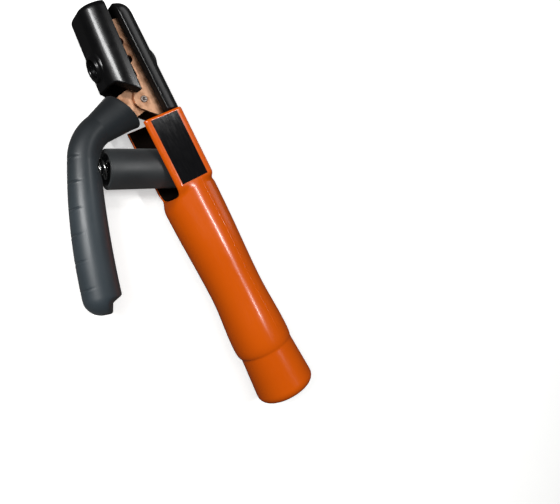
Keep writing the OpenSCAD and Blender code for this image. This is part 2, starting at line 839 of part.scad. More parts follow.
module lever_channel() {
    web_start = bush_r + 3;
    color(copper)
        difference() {
            union() {
                channel_walls(lever_half) lever_wall_outline();
                slab(2 * lever_half) lever_web_outline();
                on_moving_jaw()
                    translate([web_start, web_low, -lever_half])
                        cube([jaw_len - web_start, sheet, 2 * lever_half]);
            }
            pivot_cylinder(bush_r + run_gap, channel_w);
            on_moving_jaw()
                translate([moving_screw_x, web_low - past, 0])
                    rotate([-90, 0, 0]) cylinder(h = sheet + 2 * past, r = screw_r + hole_gap);
            aimed(seat_point - spring_dir, spring_angle)
                cylinder(h = sheet + 4, r = stud_r / 2 + hole_gap);
        }
}

// A flat-topped section with round upper edges, its top towards -Y, carried along X.
// It tips about the moving cover's screw, and reaches below the rim for the rim to be cut.
module flat_topped(half, rise, corner, start, end) {
    below = 4;
    screw_x = moving_screw_x - moving_start;
    translate([screw_x, 0, 0])
        rotate([0, 0, moving_fall])
            along_x(start - screw_x, end - start) {
                translate([corner - rise, -half]) square([rise - corner + below, 2 * half]);
                translate([-rise, corner - half]) square([rise + below, 2 * (half - corner)]);
                for (side = [-1, 1])
                    translate([corner - rise, side * (half - corner)]) circle(corner);
            }
}

// The moving cover's outside, with its front edges rounded in plan and from the side
module moving_outside(length) {
    edge = 0.4;
    behind = 10;
    wide = 2 * cover_r;
    r = moving_front_round;
    screw_x = moving_screw_x - moving_start;
    top = moving_rise - (length - screw_x) * tan(moving_fall) + edge;
    intersection() {
        flat_topped(moving_half, moving_rise, moving_corner, -behind, length + past);
        along_y(-wide, 2 * wide)
            round_rect([-2 * behind, -moving_half - edge], [length, moving_half + edge], r);
        slab(2 * wide)
            polygon(concat(
                [[-2 * behind, wide], [-2 * behind, -wide], [length - r - behind, -wide]],
                [for (a = [90 : -10 : 0]) [length - r * (1 - cos(a)), r * (1 - sin(a)) - top]],
                [[length, wide]]
            ));
    }
}

// What is cut off the moving cover's rear: back to its tips at the rim, further above
module rear_cut_outline() {
    behind = 20;
    polygon([
        [-behind, past], [0, 0], [rear_cut, -rear_cut_rise], [rear_cut, -2 * moving_rise],
        [-behind, -2 * moving_rise]
    ]);
}

module moving_jaw_cover() {
    length = jaw_len + cover_nose + moving_reach - moving_start;
    inside_len = length - nose_wall;
    screw_x = moving_screw_x - moving_start;
    seat_y = moving_rim_y - jaw_wall_top;
    pad_lap = 6;
    pad_len = inside_len - (jaw_len - moving_start) + pad_lap;
    inside = [moving_half, moving_rise, moving_corner] - cover_wall * [1, 1, 1];
    color(bakelite)
        on_moving_jaw()
            translate([moving_start, moving_rim_y, 0])
                mirror([0, 1, 0])
                    difference() {
                        jaw_cover(length, moving_rise, screw_x, seat_y, moving_under_head,
                                  moving_well_r, moving_boss_r, moving_boss_h) {
                            moving_outside(length);
                            difference() {
                                flat_topped(inside.x, inside.y, inside.z, -2 * past, inside_len);
                                translate([screw_x, seat_y, 0])
                                    rotate([90, 0, 0]) cylinder(h = moving_rise, r = pillar_r);
                                translate([inside_len - pad_len, -moving_rise, -pillar_r])
                                    cube([pad_len + past, moving_rise + seat_y, 2 * pillar_r]);
                            }
                        }
                        slab(4 * cover_r) rear_cut_outline();
                    }
}

module moving_cover_screw() {
    color(steel)
        on_moving_jaw()
            translate([moving_screw_x, jaw_wall_top + moving_under_head, 0])
                mirror([0, 1, 0]) pan_screw(jaw_wall_top + moving_under_head - web_low - sheet / 2);
}

module moving_cover_nut() {
    color(steel) on_moving_jaw() translate([moving_screw_x, web_low + sheet, 0]) square_nut();
}

// Growth of the sleeve's radius, at a share of the lower arm's length
function swell(t) = end_swell * (1 - (1 - t) * (1 - t));

// The sleeve's round body, or the room inside it, along the lever.
// Each part laps into the next, which is a hair fuller.
module sleeve_body(radius, mouth, end_outline) {
    lap = 1;
    parts = 5;
    step = arm_len / parts;
    aimed(upper_point(sleeve_upper), upper_angle)
        rotate_extrude()
            polygon([
                [0, 0], [mouth, 0], [radius, sleeve_upper],
                [radius, sleeve_upper + lap], [0, sleeve_upper + lap]
            ]);
    translate([bend_centre.x, bend_centre.y, 0])
        rotate([0, 0, upper_angle - 90])
            rotate_extrude(angle = turn, $fn = 180) translate([bend_r, 0]) circle(radius + hair, $fn = 64);
    for (i = [0 : parts - 1]) {
        back = i == 0 ? lap : 0;
        low = radius + swell(i / parts) + (i == 0 ? 0 : hair);
        high = radius + swell((i + 1) / parts);
        chord = arm_point((i + 1) * step) - arm_point(i * step);
        heading = atan2(chord.y, chord.x);
        aimed(arm_point(i * step) - ahead(heading) * back, heading)
            rotate_extrude()
                polygon([[0, 0], [low, 0], [low, back], [high, back + norm(chord)],
                         [high, back + norm(chord) + lap], [0, back + norm(chord) + lap]]);
    }
    aimed(arm_point(arm_len), arm_heading(arm_len)) rotate_extrude() polygon(end_outline);
}

// What the slanting cut takes off the sleeve's mouth
module mouth_slant_outline() {
    rear = upper_point(sleeve_upper) + beside(upper_angle) * mouth_out;
    front = upper_point(sleeve_upper - mouth_cut) - beside(upper_angle) * mouth_out;
    run = (front - rear) / 4;
    back = ahead(upper_angle) * 3 * mouth_cut;
    polygon([rear - run, front + run, front + run - back, rear - run - back]);
}

module lever_sleeve() {
    end_room = 1.5;
    cap_r = sleeve_out + swell(1) + hair;
    room_r = sleeve_in + swell(1) + hair;
    cap_outline = concat(
        [[0, 0], [0, cap_len]],
        [for (a = [90 : -10 : 0]) [cap_r - cap_round * (1 - cos(a)), cap_len - cap_round * (1 - sin(a))]],
        [[cap_r, 0]]
    );
    color(rubber)
        difference() {
            sleeve_body(sleeve_out, mouth_out, cap_outline);
            sleeve_body(sleeve_in, mouth_in, [[0, 0], [0, end_room], [room_r, end_room], [room_r, 0]]);
            aimed(seat_point - spring_dir * sleeve_out, spring_angle)
                cylinder(h = sleeve_out + 1, r = spring_r + 1);
            slab(4 * mouth_out) mouth_slant_outline();
        }
}

module lever_spring_stud() {
    stem = sheet + 1.5;
    color(steel) {
        aimed(seat_point - spring_dir * (stud_h + tilt_room), spring_angle)
            cylinder(h = stud_h, r = stud_r);
        aimed(seat_point - spring_dir * (1 + tilt_room), spring_angle)
            cylinder(h = stem + 1, r = stud_r / 2);
    }
}

handle();
label();
body_channel();
cable_socket();
socket_rivets();
clamp_screws();
pivot_rivet();
pivot_bush();
fixed_jaw_cover();
fixed_cover_screw();
fixed_cover_nut();
handle_screw();
spring_seat();
lever_spring();
spring_sleeve();
lever_channel();
moving_jaw_cover();
moving_cover_screw();
moving_cover_nut();
lever_sleeve();
lever_spring_stud();
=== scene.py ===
# %% [markdown]
# # Dressing an electrode holder
# The solids of the holder are loaded first. They give the true sizes, and everything below is fitted around them
# in the same frame: X runs along the handle to the jaws, Y points to the squeeze lever and Z is across the holder.
# Sizes of the pieces are written in millimetres, as a maker would measure them, and turned into metres on the way in.

# %% Load the frame
import math
import bpy
from mathutils import Matrix, Vector


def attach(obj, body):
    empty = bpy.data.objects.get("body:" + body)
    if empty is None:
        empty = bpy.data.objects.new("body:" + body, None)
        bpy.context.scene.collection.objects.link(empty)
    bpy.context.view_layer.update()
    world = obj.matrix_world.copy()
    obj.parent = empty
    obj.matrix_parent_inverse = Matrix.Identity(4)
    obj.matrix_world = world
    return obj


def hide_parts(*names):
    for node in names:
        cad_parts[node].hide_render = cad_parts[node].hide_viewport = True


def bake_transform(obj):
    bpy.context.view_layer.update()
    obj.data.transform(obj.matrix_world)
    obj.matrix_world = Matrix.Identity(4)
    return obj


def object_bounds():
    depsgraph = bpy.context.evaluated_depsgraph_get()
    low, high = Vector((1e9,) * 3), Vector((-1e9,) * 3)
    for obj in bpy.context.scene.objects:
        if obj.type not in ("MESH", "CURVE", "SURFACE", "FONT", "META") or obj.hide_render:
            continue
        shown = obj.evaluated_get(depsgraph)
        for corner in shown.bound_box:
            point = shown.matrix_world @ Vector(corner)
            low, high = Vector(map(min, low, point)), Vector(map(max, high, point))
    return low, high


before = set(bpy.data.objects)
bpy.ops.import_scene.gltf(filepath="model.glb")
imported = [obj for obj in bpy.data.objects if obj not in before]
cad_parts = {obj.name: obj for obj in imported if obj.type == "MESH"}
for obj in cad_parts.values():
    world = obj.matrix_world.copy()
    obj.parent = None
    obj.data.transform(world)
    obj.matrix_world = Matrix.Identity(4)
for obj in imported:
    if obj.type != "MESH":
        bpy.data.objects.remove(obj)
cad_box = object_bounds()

MM = 0.001
scene = bpy.context.scene

# %% [markdown]
# ## The camera
# The viewing angle was found from the outline of the handle and the jaws. The three rows are the picture's right, its
# down and the way it looks. Blender's camera looks along its own -Z with +Y up, so down and ahead change sign.

# %% Camera
right = Vector((-0.42734200, -0.72792598, 0.53619267))
down = Vector((-0.88363494, 0.46173239, -0.07741120))
look = Vector((-0.19122790, -0.50687964, -0.84053847))
eye = Vector((160.218, 162.573, 339.030)) * MM
lens_px, picture_px, sensor_mm = 589.862, 560, 36

camera_data = bpy.data.cameras.new("camera")
camera_data.sensor_fit = "HORIZONTAL"
camera_data.sensor_width = sensor_mm
camera_data.lens = sensor_mm * lens_px / picture_px
camera = bpy.data.objects.new("camera", camera_data)
camera.matrix_world = Matrix.Translation(eye) @ Matrix((right, -down, -look)).transposed().to_4x4()
scene.collection.objects.link(camera)
scene.camera = camera
print("lens", round(camera_data.lens, 2), "mm")

# %% [markdown]
# ## Colours and nodes
# Colours are written as they look on a screen, in hex, and a shader works in linear light, so one function turns one
# into the other. A second one adds a node, sets it and links it in one line, which keeps each finish readable.

# %% Colour and node tools


def linear(hex_colour):
    def channel(pair):
        c = int(pair, 16) / 255
        return c / 12.92 if c <= 0.04045 else ((c + 0.055) / 1.055) ** 2.4
    return tuple(channel(hex_colour[i:i + 2]) for i in (1, 3, 5)) + (1.0,)


def add(tree, kind, inputs, **settings):
    made = tree.nodes.new(kind)
    for name, value in settings.items():
        setattr(made, name, value)
    for name, value in inputs.items():
        if isinstance(value, bpy.types.NodeSocket):
            tree.links.new(value, made.inputs[name])
        else:
            made.inputs[name].default_value = value
    return made


print("orange as linear light:", [round(c, 3) for c in linear("#D9580F")])

# %% [markdown]
# ## Floor and light
# A pale floor lies just under the handle's tail, which is what the holder rests on. The holder neither mirrors the
# floor nor takes light from it, or the black pieces would turn pale on their undersides. A narrow soft box overhead
# gives the streak along the orange grip, two small ones bring out the copper, a slanting strip from the lever's side
# gives the streak on the black cover, and two wide dim ones give the soft glow on the rounded edges. A fill that no
# gloss mirrors lifts the colours. The room behind is pale to the camera, but it lights the holder very little.

# %% Floor
floor_z = cad_box[0][2] - 0.0001
floor_half = 3.0
floor_mesh = bpy.data.meshes.new("floor")
floor_mesh.from_pydata(
    [(x * floor_half, y * floor_half, floor_z) for x, y in ((-1, -1), (1, -1), (1, 1), (-1, 1))], [], [(0, 1, 2, 3)])
floor = bpy.data.objects.new("floor", floor_mesh)
floor.visible_glossy = False
floor.visible_diffuse = False
scene.collection.objects.link(floor)
print("floor at", round(floor_z / MM, 2), "mm")

# %% Lights


def soft_box(name, target, direction, distance, size, watts, run=(1, 0, 0), mirrored=True):
    """A lamp that faces its target (in metres), with its first side laid along run."""
    lamp = bpy.data.lights.new(name, "AREA")
    lamp.shape = "RECTANGLE"
    lamp.size, lamp.size_y = size
    lamp.energy = watts
    box = bpy.data.objects.new(name, lamp)
    aim = Vector(direction).normalized()
    side = (Vector(run) - aim * aim.dot(Vector(run))).normalized()
    turn = Matrix((side, aim.cross(side), aim)).transposed().to_4x4()
    box.matrix_world = Matrix.Translation(Vector(target) + aim * distance) @ turn
    box.visible_glossy = mirrored
    scene.collection.objects.link(box)


strip_run = (0.141, 0.164, -0.174)
cover_top = (0.2425, 0.011, 0.0153)
soft_box("overhead_strip", (0.078, 0.0, 0.02), (-0.06, -0.26, 0.96), 0.8, (0.19, 0.03), 1.8)
soft_box("channel_strip", (0.205, -0.005, 0.012), (0.124, -0.448, 0.885), 0.85, (0.025, 0.1), 0.75)
soft_box("cover_strip", cover_top, (0.31, 0.66, 0.68), 0.8, (0.42, 0.12), 4.2, strip_run)
soft_box("side_glow", cover_top, (0.31, 0.82, 0.48), 1.0, (0.55, 0.28), 0.4, strip_run)
soft_box("low_glow", (0.22, -0.01, 0.01), (0.2, -0.95, 0.22), 0.9, (0.8, 0.4), 1.0)
soft_box("jaw_lamp", (0.245, -0.002, 0.009), (0.35, -0.1, 0.93), 0.7, (0.1, 0.1), 0.7)
soft_box("room_fill", (0.22, 0.03, 0.0), (0.2, 0.3, 0.93), 0.6, (0.6, 0.6), 1.9, mirrored=False)

# %% Room
room_light, room_seen = 0.03, 0.85
world = bpy.data.worlds.new("studio")
world.use_nodes = True
room = world.node_tree
backdrop = room.nodes["Background"]
backdrop.inputs["Color"].default_value = (1, 1, 1, 1)
seen = add(room, "ShaderNodeLightPath", {})
glow = add(room, "ShaderNodeMapRange",
           {"Value": seen.outputs["Is Camera Ray"], "To Min": room_light, "To Max": room_seen})
room.links.new(glow.outputs["Result"], backdrop.inputs["Strength"])
scene.world = world
scene.view_settings.view_transform = "Standard"
print("room:", room_seen, "to the camera,", room_light, "as light")

# %% [markdown]
# ## A start for every finish
# Each finish starts from Blender's own Principled shader. The constants of the material, such as its IOR, are set at
# once, and the object's own coordinates give the place that the patterns are drawn in. A pattern's size is given in
# millimetres, and a texture's scale is how many times that size fits into a metre.

# %% Finish tools


def new_finish(name, **constants):
    finish = bpy.data.materials.new(name)
    finish.use_nodes = True
    tree = finish.node_tree
    shader = tree.nodes["Principled BSDF"]
    for socket, value in constants.items():
        shader.inputs[socket.replace("_", " ")].default_value = value
    place = add(tree, "ShaderNodeTexCoord", {}).outputs["Object"]
    return finish, tree, shader, place


def per_metre(size_mm):
    return 1 / (size_mm * MM)


print("a pattern of 25 mm has scale", round(per_metre(25)))

# %% [markdown]
# ## Orange moulded nylon
# The grip is glass-filled nylon from a steel mould: glossy, a little uneven in colour, with a faint flow of the melt
# along the handle and rub marks from use. The unevenness is slow (25 mm), the rub marks are fine (0.8 mm) and
# stretched along the handle, and the mould's own texture is about half a millimetre.

# %% Orange nylon
orange_nylon, tree, shader, place = new_finish(
    "moulded_orange_nylon", IOR=1.53, Specular_IOR_Level=0.35, Coat_Weight=0.12, Coat_Roughness=0.1)
clouds = add(tree, "ShaderNodeTexNoise", {"Vector": place, "Scale": per_metre(25), "Detail": 3.0})
tint = add(tree, "ShaderNodeMixRGB",
           {"Fac": clouds.outputs["Fac"], "Color1": linear("#C85003"), "Color2": linear("#D25906")})
rub_place = add(tree, "ShaderNodeMapping", {"Vector": place, "Scale": (0.12, 1, 1)})
rub = add(tree, "ShaderNodeTexNoise", {"Vector": rub_place.outputs["Vector"], "Scale": per_metre(0.8), "Detail": 4.0})
gloss = add(tree, "ShaderNodeMapRange",
            {"Value": rub.outputs["Fac"], "From Min": 0.3, "From Max": 0.7, "To Min": 0.16, "To Max": 0.27})
pebble = add(tree, "ShaderNodeTexNoise", {"Vector": place, "Scale": per_metre(0.5), "Detail": 2.0})
relief = add(tree, "ShaderNodeBump", {"Height": pebble.outputs["Fac"], "Strength": 0.06, "Distance": 0.0001})
tree.links.new(tint.outputs["Color"], shader.inputs["Base Color"])
tree.links.new(gloss.outputs["Result"], shader.inputs["Roughness"])
tree.links.new(relief.outputs["Normal"], shader.inputs["Normal"])
print(orange_nylon.name, len(tree.nodes), "nodes")

# %% [markdown]
# Inside the shroud the nylon is coloured dull and nearly black, as painted shade where no light reaches in. A patchy
# tone (6 mm) lets a little of the brown show through.

# %% Painted shade inside the shroud
# painted shade: these near-black colours stand for the shade inside the shroud
painted_shade_nylon, tree, shader, place = new_finish("painted_shade_nylon", IOR=1.5, Specular_IOR_Level=0.15, Roughness=0.75)
shade_patches = add(tree, "ShaderNodeTexNoise", {"Vector": place, "Scale": per_metre(6), "Detail": 4.0})
painted_shade_tone = add(tree, "ShaderNodeMixRGB",
                {"Fac": shade_patches.outputs["Fac"], "Color1": linear("#060403"), "Color2": linear("#170B06")})
tree.links.new(painted_shade_tone.outputs["Color"], shader.inputs["Base Color"])
print(painted_shade_nylon.name, len(tree.nodes), "nodes")

# %% [markdown]
# ## Black bakelite
# The jaw covers are pressed phenolic resin. It comes out of a polished mould deep black and glossy, with a slow
# ripple where the resin shrank and a few dull spots from spatter and handling. A thin glossy skin, the shader's coat,
# lies over a duller body: the skin gives the crisp streak and the body the soft halo round it. Small patches (4 mm)
# make the body's gloss uneven, and the ripple is a very shallow bump 9 mm long.

# %% Bakelite
black_bakelite, tree, shader, place = new_finish(
    "pressed_black_bakelite", IOR=1.55, Specular_IOR_Level=0.35, Coat_Weight=0.4, Coat_Roughness=0.13)
patches = add(tree, "ShaderNodeTexNoise", {"Vector": place, "Scale": per_metre(4), "Detail": 5.0})
dull = add(tree, "ShaderNodeMapRange",
           {"Value": patches.outputs["Fac"], "From Min": 0.35, "From Max": 0.75, "To Min": 0.27, "To Max": 0.34})
# spots of a darker and a lighter black, at random
spots_and_painted_shade = add(tree, "ShaderNodeMixRGB",
           {"Fac": patches.outputs["Fac"], "Color1": linear("#070708"), "Color2": linear("#0D0D0E")})
ripple = add(tree, "ShaderNodeTexNoise", {"Vector": place, "Scale": per_metre(9), "Detail": 1.0})
relief = add(tree, "ShaderNodeBump", {"Height": ripple.outputs["Fac"], "Strength": 0.05, "Distance": 0.0004})
tree.links.new(spots_and_painted_shade.outputs["Color"], shader.inputs["Base Color"])
tree.links.new(dull.outputs["Result"], shader.inputs["Roughness"])
tree.links.new(relief.outputs["Normal"], shader.inputs["Normal"])
print(black_bakelite.name, len(tree.nodes), "nodes")

# %% [markdown]
# The rims of the covers are ground flat after pressing. Grinding takes the mould's gloss away and leaves a dull black
# face with fine scratches (0.4 mm).

# %% Ground bakelite
ground_bakelite, tree, shader, place = new_finish("ground_bakelite", IOR=1.55, Specular_IOR_Level=0.2)
scratches = add(tree, "ShaderNodeTexNoise", {"Vector": place, "Scale": per_metre(0.4), "Detail": 3.0})
ground_tone = add(tree, "ShaderNodeMixRGB",
                  {"Fac": scratches.outputs["Fac"], "Color1": linear("#040404"), "Color2": linear("#0B0B0B")})
ground_dull = add(tree, "ShaderNodeMapRange", {
    "Value": scratches.outputs["Fac"], "From Min": 0.3, "From Max": 0.7, "To Min": 0.6, "To Max": 0.75})
tree.links.new(ground_tone.outputs["Color"], shader.inputs["Base Color"])
tree.links.new(ground_dull.outputs["Result"], shader.inputs["Roughness"])
print(ground_bakelite.name, len(tree.nodes), "nodes")

# %% [markdown]
# ## Black rubber
# Two rubbers: the lever's hose is a smooth soft vinyl with a satin skin, and the tube round the spring is a dull
# extruded rubber. Both are dark grey rather than black, because the skin scatters light. A wide, dim gloss and a fine
# pore (0.35 mm) make the difference from the bakelite. The vinyl also has a thin, smoother coat, which narrows its
# streak, and painted shade darkens its colour towards the jaws. The tube keeps fine lines from the die along its
# length.

# %% Rubber


def rubber_finish(name, dark, light, low, high, along, painted_shade_span=None, **skin):
    rubber, tree, shader, place = new_finish(
        name, IOR=1.5, Specular_IOR_Level=0.7, Sheen_Weight=0.12, Sheen_Roughness=0.5, **skin)
    bloom = add(tree, "ShaderNodeTexNoise", {"Vector": place, "Scale": per_metre(14), "Detail": 4.0})
    grey = add(tree, "ShaderNodeMixRGB",
               {"Fac": bloom.outputs["Fac"], "Color1": linear(dark), "Color2": linear(light)})
    stretched = add(tree, "ShaderNodeMapping", {"Vector": place, "Scale": along})
    pores = add(tree, "ShaderNodeTexNoise",
                {"Vector": stretched.outputs["Vector"], "Scale": per_metre(0.35), "Detail": 2.0})
    satin = add(tree, "ShaderNodeMapRange",
                {"Value": bloom.outputs["Fac"], "From Min": 0.3, "From Max": 0.7, "To Min": low, "To Max": high})
    relief = add(tree, "ShaderNodeBump", {"Height": pores.outputs["Fac"], "Strength": 0.12, "Distance": 0.0001})
    # painted shade: the hose's colour darkens along X towards the jaws, where its upper arm lies in shade
    if painted_shade_span:
        shade_start_x, shade_full_x = painted_shade_span[0] * MM, painted_shade_span[1] * MM
        parted = add(tree, "ShaderNodeSeparateXYZ", {"Vector": place})
        spots_and_painted_shade = add(tree, "ShaderNodeMapRange",
                   {"Value": parted.outputs["X"], "From Min": shade_start_x, "From Max": shade_full_x, "To Max": 0.85})
        grey = add(tree, "ShaderNodeMixRGB",
                   {"Fac": spots_and_painted_shade.outputs["Result"], "Color1": grey.outputs["Color"], "Color2": linear("#0C0D0E")})
    tree.links.new(grey.outputs["Color"], shader.inputs["Base Color"])
    tree.links.new(satin.outputs["Result"], shader.inputs["Roughness"])
    tree.links.new(relief.outputs["Normal"], shader.inputs["Normal"])
    return rubber


# the hose takes painted shade from 168 mm to 212 mm along X
hose_vinyl = rubber_finish("satin_vinyl_hose", "#313A40", "#3B444A", 0.42, 0.5, (1, 1, 1), painted_shade_span=(168, 212),
                           Coat_Weight=0.2, Coat_Roughness=0.26)
tube_rubber = rubber_finish("extruded_rubber_tube", "#1F2224", "#282C2E", 0.46, 0.56, (0.3, 0.1, 1))
print(hose_vinyl.name, tube_rubber.name)

# %% [markdown]
# ## Metals
# The pressed channels are mild steel with a thin copper plate, dulled to a pinkish tan by handling and heat, with
# darker stains. The screws are zinc plated and the rivet and the spring are bright drawn steel. For metals the base
# colour is the colour of the reflection, metallic is 1 and the IOR stays at its default. Pressed edges are never
# knife sharp, so a small rounding (0.25 mm) is given to the light that falls on the edges of the kept solids.

# %% Metal finishes


def metal_finish(name, dark, light, low, high, stain_mm, brush):
    metal, tree, shader, place = new_finish(name, Metallic=1.0)
    stain = add(tree, "ShaderNodeTexNoise", {"Vector": place, "Scale": per_metre(stain_mm), "Detail": 6.0})
    spread = add(tree, "ShaderNodeMapRange",
                 {"Value": stain.outputs["Fac"], "From Min": 0.35, "From Max": 0.6, "To Min": 0.0, "To Max": 1.0})
    shade = add(tree, "ShaderNodeMixRGB",
                {"Fac": spread.outputs["Result"], "Color1": linear(dark), "Color2": linear(light)})
    drawn = add(tree, "ShaderNodeMapping", {"Vector": place, "Scale": brush})
    lines = add(tree, "ShaderNodeTexNoise",
                {"Vector": drawn.outputs["Vector"], "Scale": per_metre(0.3), "Detail": 3.0})
    worn = add(tree, "ShaderNodeMapRange",
               {"Value": lines.outputs["Fac"], "From Min": 0.3, "From Max": 0.7, "To Min": low, "To Max": high})
    edge = add(tree, "ShaderNodeBevel", {"Radius": 0.00025}, samples=4)
    relief = add(tree, "ShaderNodeBump", {
        "Height": lines.outputs["Fac"], "Strength": 0.08, "Distance": 0.0001, "Normal": edge.outputs["Normal"]})
    tree.links.new(shade.outputs["Color"], shader.inputs["Base Color"])
    tree.links.new(worn.outputs["Result"], shader.inputs["Roughness"])
    tree.links.new(relief.outputs["Normal"], shader.inputs["Normal"])
    return metal


coppered_steel = metal_finish("coppered_pressed_steel", "#8C6248", "#C59A7C", 0.42, 0.58, 5, (0.15, 1, 1))
zinc_steel = metal_finish("zinc_plated_steel", "#A9ABAE", "#C4C6C8", 0.24, 0.38, 3, (1, 1, 1))
rivet_steel = metal_finish("worn_rivet_steel", "#8A807A", "#B0A49C", 0.4, 0.55, 3, (1, 1, 1))
bright_steel = metal_finish("bright_drawn_steel", "#B4B4B4", "#D6D6D4", 0.14, 0.26, 3, (1, 1, 1))
print(coppered_steel.name, zinc_steel.name, rivet_steel.name, bright_steel.name)

# %% [markdown]
# ## Label film and floor
# The label is a bare black gloss film, with fine scuffs about 0.6 mm wide that run along the handle. The floor is a
# matt pale board with a barely visible tooth, which glows a little so that it stays as pale as the room.

# %% Label film and floor finish
label_film, tree, shader, place = new_finish("black_gloss_film", IOR=1.5, Specular_IOR_Level=0.4)
scuff_place = add(tree, "ShaderNodeMapping", {"Vector": place, "Scale": (0.08, 1, 1)})
scuffs = add(tree, "ShaderNodeTexNoise",
             {"Vector": scuff_place.outputs["Vector"], "Scale": per_metre(0.6), "Detail": 4.0})
film_gloss = add(tree, "ShaderNodeMapRange",
                 {"Value": scuffs.outputs["Fac"], "From Min": 0.4, "From Max": 0.75, "To Min": 0.07, "To Max": 0.12})
film_shade = add(tree, "ShaderNodeMixRGB",
                 {"Fac": scuffs.outputs["Fac"], "Color1": linear("#0A0A0B"), "Color2": linear("#121214")})
tree.links.new(film_shade.outputs["Color"], shader.inputs["Base Color"])
tree.links.new(film_gloss.outputs["Result"], shader.inputs["Roughness"])

floor_board, tree, shader, place = new_finish("pale_lit_board", Roughness=0.9, Emission_Strength=0.45)
shader.inputs["Emission Color"].default_value = linear("#FFFFFF")
tooth = add(tree, "ShaderNodeTexNoise", {"Vector": place, "Scale": per_metre(12), "Detail": 3.0})
board_tone = add(tree, "ShaderNodeMixRGB",
                 {"Fac": tooth.outputs["Fac"], "Color1": linear("#F4F4F2"), "Color2": linear("#F8F8F6")})
tree.links.new(board_tone.outputs["Color"], shader.inputs["Base Color"])
floor.data.materials.append(floor_board)
print(label_film.name, floor_board.name)

# %% [markdown]
# ## Tools for the shapes
# Most pieces here are lofts: rings of points joined into a skin. A few small tools make a piece from rings, cut it
# with others, and round it over. Rounding works like sanding: the shape is rebuilt from small voxels and smoothed, so
# every edge, also where cuts meet, gets the soft edge that a moulding has.

# %% Shape tools
import bmesh


def make_piece(name, points, faces):
    """A mesh object from places in millimetres, with its faces turned outwards."""
    mesh = bpy.data.meshes.new(name)
    mesh.from_pydata([tuple(c * MM for c in p) for p in points], [], faces)
    work = bmesh.new()
    work.from_mesh(mesh)
    bmesh.ops.recalc_face_normals(work, faces=work.faces)
    work.to_mesh(mesh)
    work.free()
    piece = bpy.data.objects.new(name, mesh)
    scene.collection.objects.link(piece)
    return piece


def loft(name, rings):
    """A skin over rings of equally many points, closed at both ends."""
    sides = len(rings[0])
    last = (len(rings) - 1) * sides
    faces = [tuple(reversed(range(sides))), tuple(range(last, last + sides))]
    for i in range(len(rings) - 1):
        for j in range(sides):
            a, b = i * sides + j, i * sides + (j + 1) % sides
            faces.append((a, b, b + sides, a + sides))
    return make_piece(name, [p for ring in rings for p in ring], faces)


def block(name, low, high, put=lambda x, y, z: (x, y, z)):
    """A box between two corners, where put may turn and move it."""
    corners = ((low[1], low[2]), (high[1], low[2]), (high[1], high[2]), (low[1], high[2]))
    return loft(name, [[put(x, y, z) for y, z in corners] for x in (low[0], high[0])])


def turned(name, profile, sides, put):
    """A lathe piece from (radius, height) pairs, where put turns across, side and height into a place."""
    around = [2 * math.pi * k / sides for k in range(sides)]
    return loft(name, [[put(r * math.cos(a), r * math.sin(a), h) for a in around] for r, h in profile])


def settle(piece):
    """Turns what the modifiers make into the piece's own mesh."""
    graph = bpy.context.evaluated_depsgraph_get()
    mesh = bpy.data.meshes.new_from_object(piece.evaluated_get(graph))
    piece.modifiers.clear()
    old, piece.data = piece.data, mesh
    bpy.data.meshes.remove(old)


def carve(piece, operation, tools):
    for tool in tools:
        step = piece.modifiers.new(operation.lower(), "BOOLEAN")
        step.operation, step.object, step.solver = operation, tool, "EXACT"
    settle(piece)
    for tool in tools:
        bpy.data.objects.remove(tool)


def sand(piece, voxel_mm, rounds):
    """Rebuilds a piece from voxels and rubs its edges over."""
    grid = piece.modifiers.new("grid", "REMESH")
    grid.mode, grid.voxel_size, grid.use_smooth_shade = "VOXEL", voxel_mm * MM, True
    rub = piece.modifiers.new("rub", "SMOOTH")
    rub.factor, rub.iterations = 0.5, rounds
    settle(piece)


def dress(piece, finish, body=None, stands_for=()):
    """Gives a piece its finish, the body it rides on and the solids it stands for."""
    piece.data.materials.clear()
    piece.data.materials.append(finish)
    for face in piece.data.polygons:
        face.material_index = 0
    if body:
        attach(piece, body)
    if stands_for:
        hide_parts(*stands_for)
    print(piece.name, len(piece.data.polygons), "faces")


def second_finish(piece, finish, chosen):
    """Gives another finish to the faces that are chosen by their place, in millimetres, and their normal."""
    piece.data.materials.append(finish)
    count = 0
    for face in piece.data.polygons:
        if chosen(face.center / MM, face.normal):
            face.material_index = 1
            count += 1
    print(piece.name, count, "faces in", finish.name)


def mix(a, b, t):
    return a + (b - a) * t


def smooth(t):
    t = min(1, max(0, t))
    return t * t * (3 - 2 * t)


print("shape tools ready")

# %% [markdown]
# ## The handle
# The grip is round, swells to a raised ring near the cable end, and turns into a square shroud that is open to the
# lever. It could be cut from a cylinder and a box, but the moulding flows from round to square without an edge. So
# each ring is a mix of a circle and a rounded rectangle, both measured from the axis, and the mix goes from one to
# the other over the shoulder. The raised ring is fullest on the lever's side, and the two flanks draw in to an oval,
# so that they run flush into the shroud just before the label. The hollow, the cable hole and the open pocket are cut
# out, the whole is sanded, and the inside is coloured near black as painted shade.

# %% Handle sections
handle_len, pocket_x, label_x = 195.5, 147.5, 153.2
shroud_low, shroud_high, shroud_half, shroud_corner = -14.5, 12.2, 17.3, 3
end_round, tail_r, neck_x, neck_r = 6, 19.8, 34.6, 17.9
ring_x, ring_r, waist_x, waist_r, full_x, full_r = 41.1, 19.7, 80, 17.2, 143, 18.7


def grip_radius(x, angle):
    crest = mix(neck_r, ring_r, 0.45 + 0.55 * max(0, math.cos(angle)))
    if x < end_round:
        return tail_r - end_round + end_round * math.cos(math.asin(1 - x / end_round))
    if x < neck_x:
        return mix(tail_r, neck_r, (x - end_round) / (neck_x - end_round))
    if x < ring_x:
        return mix(neck_r, crest, math.sin(math.acos(1 - (x - neck_x) / (ring_x - neck_x))))
    if x < waist_x:
        return mix(crest, waist_r, (1 - math.cos(math.pi * (x - ring_x) / (waist_x - ring_x))) / 2)
    return mix(waist_r, full_r, (1 - math.cos(math.pi * min(1, (x - waist_x) / (full_x - waist_x)))) / 2)


